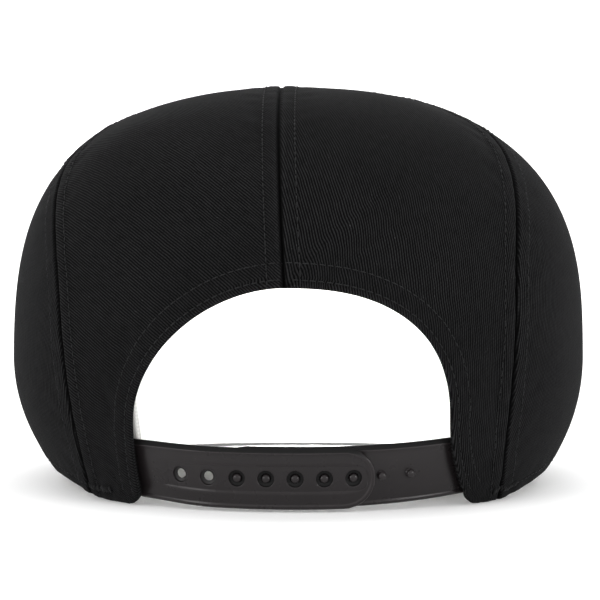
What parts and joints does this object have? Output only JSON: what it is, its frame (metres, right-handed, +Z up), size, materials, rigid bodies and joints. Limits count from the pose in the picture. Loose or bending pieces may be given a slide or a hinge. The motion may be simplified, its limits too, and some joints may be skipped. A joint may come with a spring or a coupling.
{
  "type": "five panel cap",
  "caption": "Black twill five panel cap with a covered button, a lightly bent peak and a plastic snap strap across an arch at the back.",
  "frame": {"origin": "middle of the floor under the whole cap, peak included", "axes": "+Z up, +Y towards the back of the cap, +X towards the wearer's left"},
  "size_m": [0.186, 0.2612, 0.1293],
  "materials": {
    "twill": "matt black cotton twill with fine diagonal lines",
    "backing": "matt off-white stiffened weave",
    "band": "matt off-white cotton twill",
    "strap": "satin moulded plastic"
  },
  "bodies": {
    "root": {"front_panel": "twill", "front_backing": "backing", "side_panel_left": "twill", "side_panel_right": "twill", "back_panel_left": "twill", "back_panel_right": "twill", "arch_facing": "twill", "sweatband": "band", "top_button": "twill", "peak": "twill", "strap_with_holes": "strap", "strap_with_pegs": "strap"}
  },
  "joints": []
}
